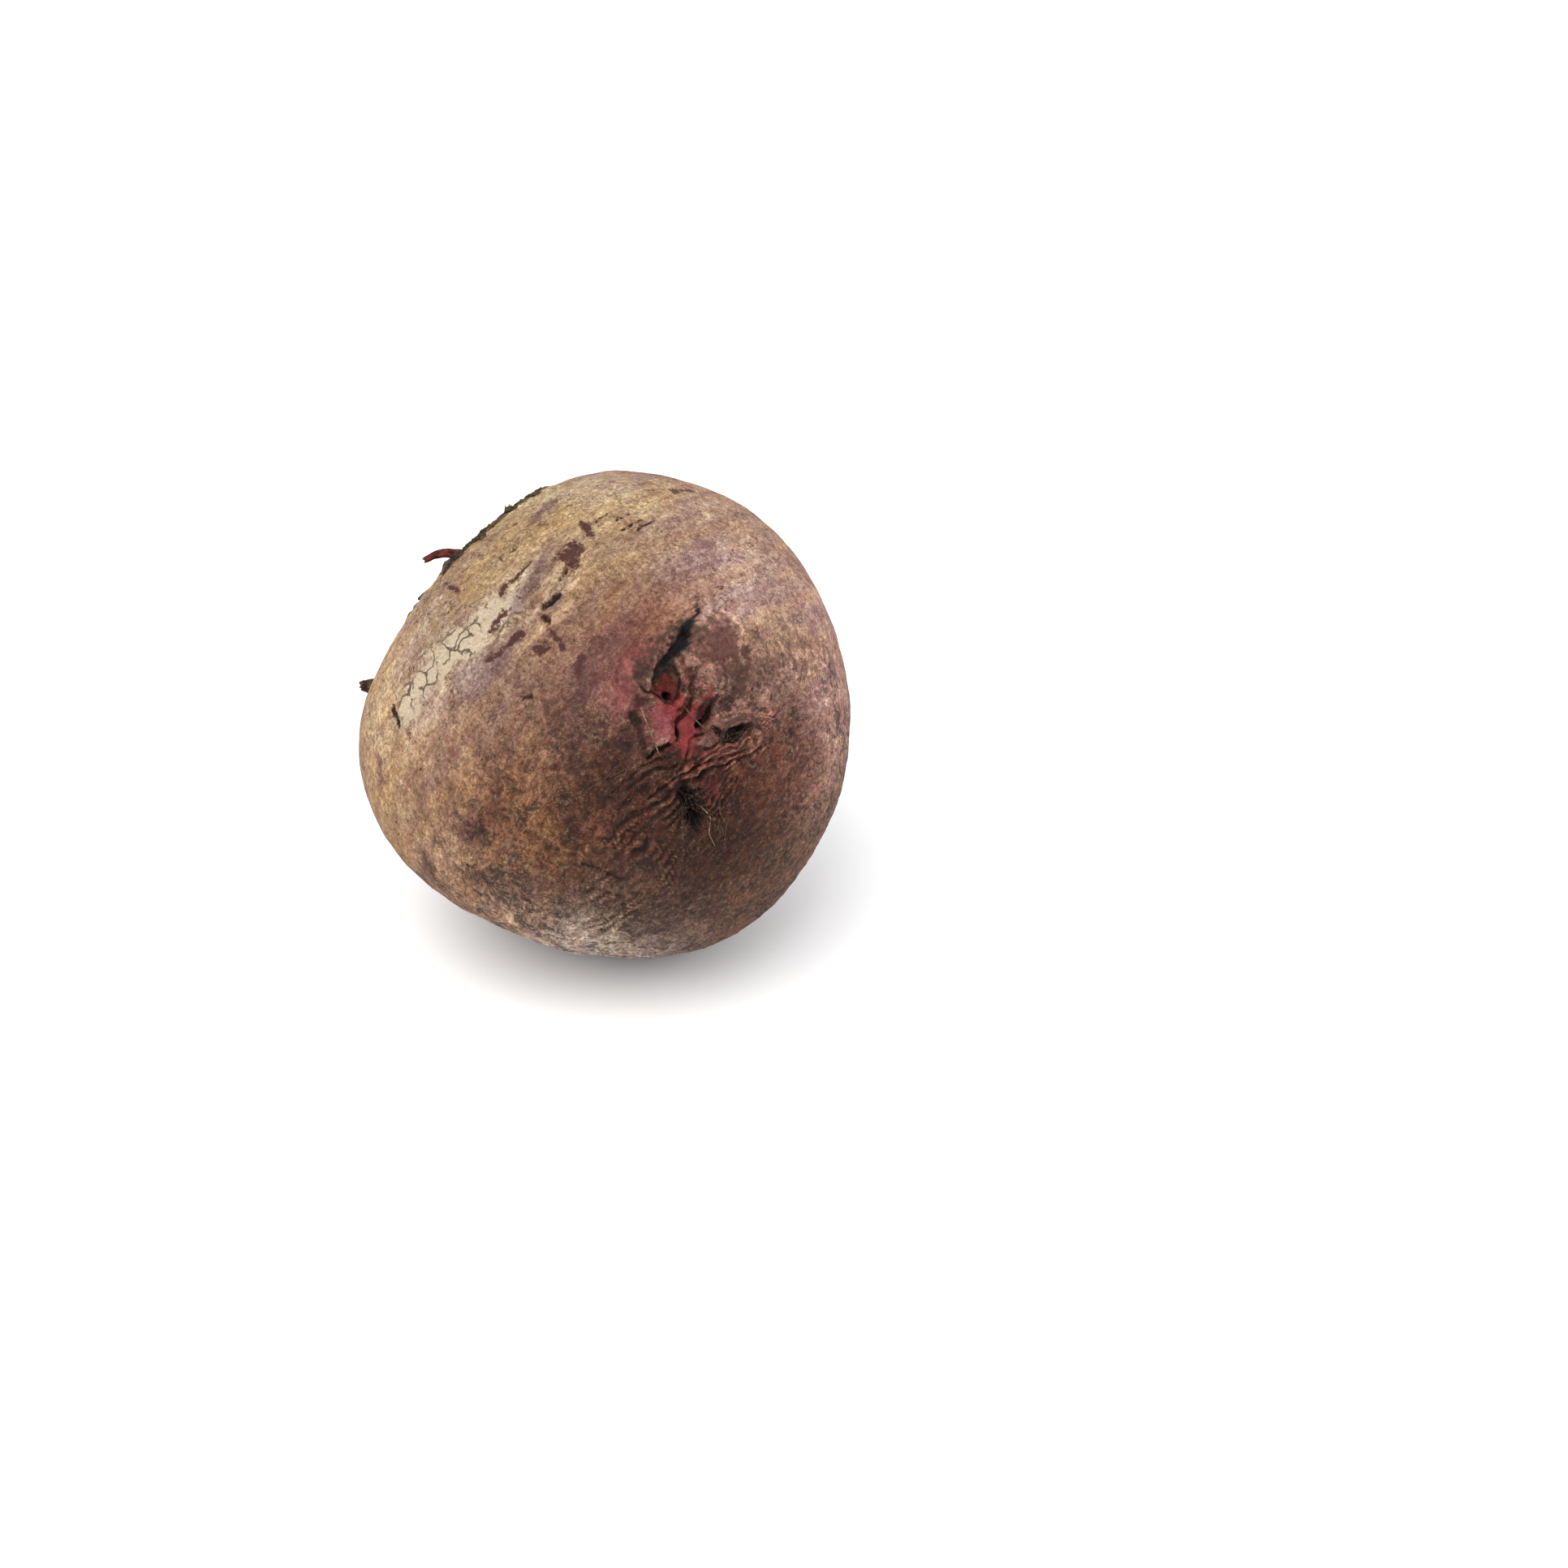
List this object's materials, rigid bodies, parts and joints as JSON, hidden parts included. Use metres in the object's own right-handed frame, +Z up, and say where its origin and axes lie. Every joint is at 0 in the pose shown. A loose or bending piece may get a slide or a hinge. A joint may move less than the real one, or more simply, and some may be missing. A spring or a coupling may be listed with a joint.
{
  "type": "beetroot",
  "caption": "Whole beetroot with its leaves trimmed off, lying on its side: rounded root, flat corky crown with stalk stubs, and a pinched root hollow with fine rootlets.",
  "frame": {"origin": "on the small flat spot that the beetroot rests on, straight under the middle of the root", "axes": "+Z up from the resting spot; the root hollow faces -Y and a little +X, and the crown faces -X and +Y, a little upwards"},
  "size_m": [0.0842, 0.0838, 0.0831],
  "materials": {
    "beet_skin": "matte, rough, brown to purplish skin",
    "leaf_stalk": "dry, dark red to brown stalk stub",
    "rootlet_fibre": "dry, tan root fibre"
  },
  "bodies": {
    "root": {"swollen_root": "beet_skin", "leaf_stalk_red": "leaf_stalk", "leaf_stalk_dry_side": "leaf_stalk", "leaf_stalk_dry_top": "leaf_stalk", "leaf_stalk_low": "leaf_stalk", "leaf_stalk_back": "leaf_stalk", "leaf_stalk_right": "leaf_stalk", "leaf_stalk_inner_a": "leaf_stalk", "leaf_stalk_inner_b": "leaf_stalk", "leaf_stalk_inner_c": "leaf_stalk", "taproot_tip": "rootlet_fibre", "rootlet_pale": "rootlet_fibre", "rootlet_brown": "rootlet_fibre", "rootlet_lower_a": "rootlet_fibre", "rootlet_lower_b": "rootlet_fibre"}
  },
  "joints": []
}
